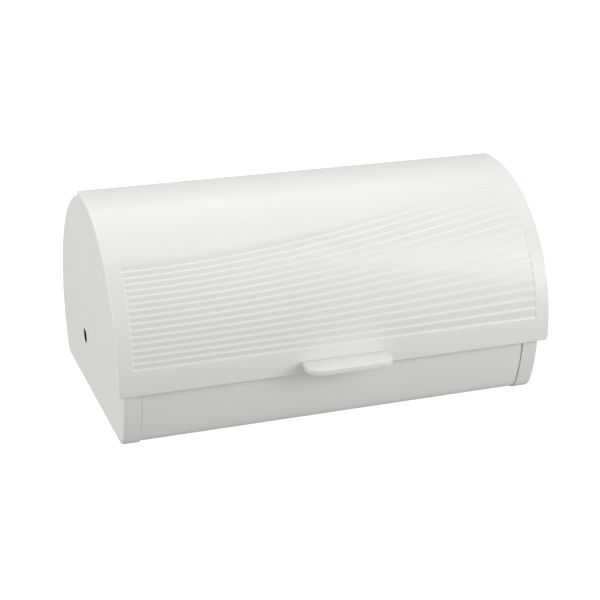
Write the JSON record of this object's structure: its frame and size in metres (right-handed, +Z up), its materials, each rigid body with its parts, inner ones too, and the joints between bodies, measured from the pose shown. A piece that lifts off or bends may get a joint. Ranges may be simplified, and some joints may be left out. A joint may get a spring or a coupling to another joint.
{
  "type": "bread box with roll top",
  "caption": "Half-round bread box whose one-piece curved lid swings up and back on two side pivots to open the front, with a finger tab and a pattern of fanned ribs.",
  "frame": {"origin": "middle of the closed box's outline, handle included, on the table under the rubber feet", "axes": "+X along the width to the right of a person facing the front, the front and the handle face -Y, +Z up"},
  "size_m": [0.4, 0.2936, 0.1991],
  "materials": {
    "body_paint": "satin white powder coat on sheet steel",
    "lid_paint": "satin white powder coat on sheet steel",
    "moulded_white": "fine satin white moulding",
    "zinc_steel": "bright zinc plate",
    "nylon": "natural nylon",
    "rubber": "matt black rubber"
  },
  "bodies": {
    "box": {"front_panel": "body_paint", "back_shell": "body_paint", "base_pan": "body_paint", "side_panel_left": "moulded_white", "pivot_pin_left": "zinc_steel", "pivot_nut_left": "zinc_steel", "pivot_spacer_left": "nylon", "bumper_closed_left": "rubber", "stop_open_left": "rubber", "foot_front_left": "rubber", "foot_rear_left": "rubber", "side_panel_right": "moulded_white", "pivot_pin_right": "zinc_steel", "pivot_nut_right": "zinc_steel", "pivot_spacer_right": "nylon", "bumper_closed_right": "rubber", "stop_open_right": "rubber", "foot_front_right": "rubber", "foot_rear_right": "rubber", "base_screws": "zinc_steel", "rear_screws": "zinc_steel"},
    "lid": {"lid": "lid_paint", "lid_handle": "moulded_white", "handle_screws": "zinc_steel", "lid_arm_left": "lid_paint", "lid_arm_right": "lid_paint"}
  },
  "joints": [
    {"name": "lid_hinge", "type": "hinge", "parent": "box", "child": "lid", "pos_m": [0, 0.04183, 0.052], "axis": [-1, 0, 0], "range_deg": [0, 62.2]}
  ]
}
